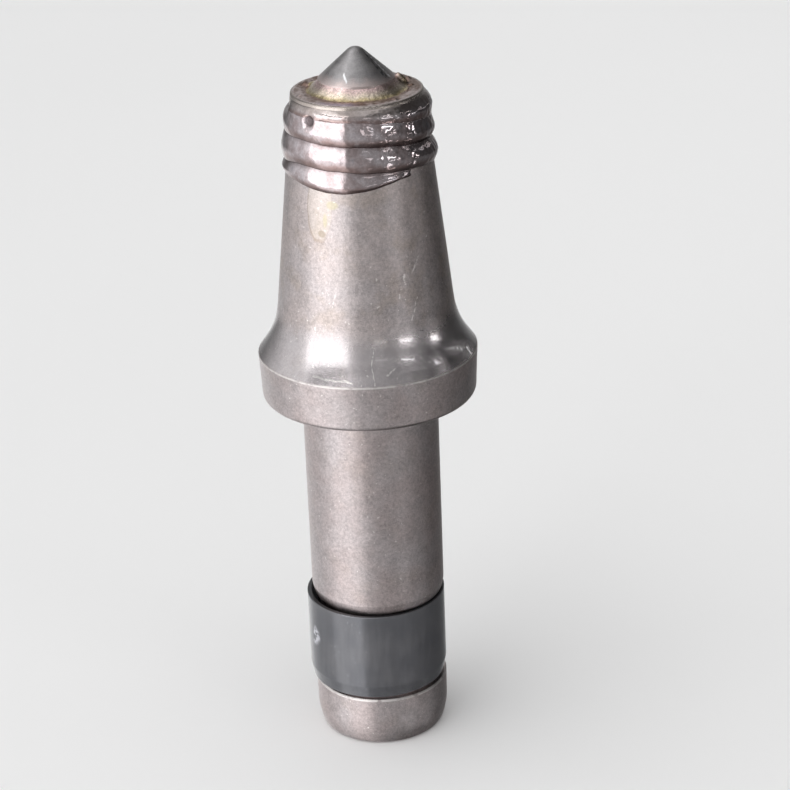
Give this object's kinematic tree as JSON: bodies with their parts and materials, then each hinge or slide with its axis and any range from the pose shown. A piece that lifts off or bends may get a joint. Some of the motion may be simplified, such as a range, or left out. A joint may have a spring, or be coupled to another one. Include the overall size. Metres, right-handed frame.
{
  "type": "conical cutting pick",
  "caption": "Round-shank conical cutting pick: tapered steel head with a brazed carbide point, helical weld hardfacing, a flange, a shank and a split spring retaining sleeve.",
  "frame": {"origin": "centre of the flat end of the shank", "axes": "+Z along the axis from the shank's end to the carbide point; -Y faces the viewer; the sleeve's slit is at +Y"},
  "size_m": [0.048, 0.048, 0.1601],
  "materials": {
    "forged_steel": "satin, blasted, warm grey",
    "carbide": "dark satin, sintered",
    "braze": "glossy, heat tinted",
    "weld_metal": "glossy, lumpy, heat tinted",
    "blued_spring_steel": "dark blued, satin"
  },
  "bodies": {
    "pick": {"pick_body": "forged_steel", "carbide_tip": "carbide", "braze_layer": "braze", "braze_fillet": "braze", "hardfacing_pass_1": "weld_metal", "hardfacing_pass_2": "weld_metal", "hardfacing_pass_3": "weld_metal", "hardfacing_run_out": "weld_metal"},
    "sleeve": {"retaining_sleeve": "blued_spring_steel"}
  },
  "joints": [
    {"name": "sleeve_spin", "type": "hinge", "parent": "pick", "child": "sleeve", "pos_m": [0, 0, 0.024], "axis": [0, 0, 1], "continuous": true}
  ]
}
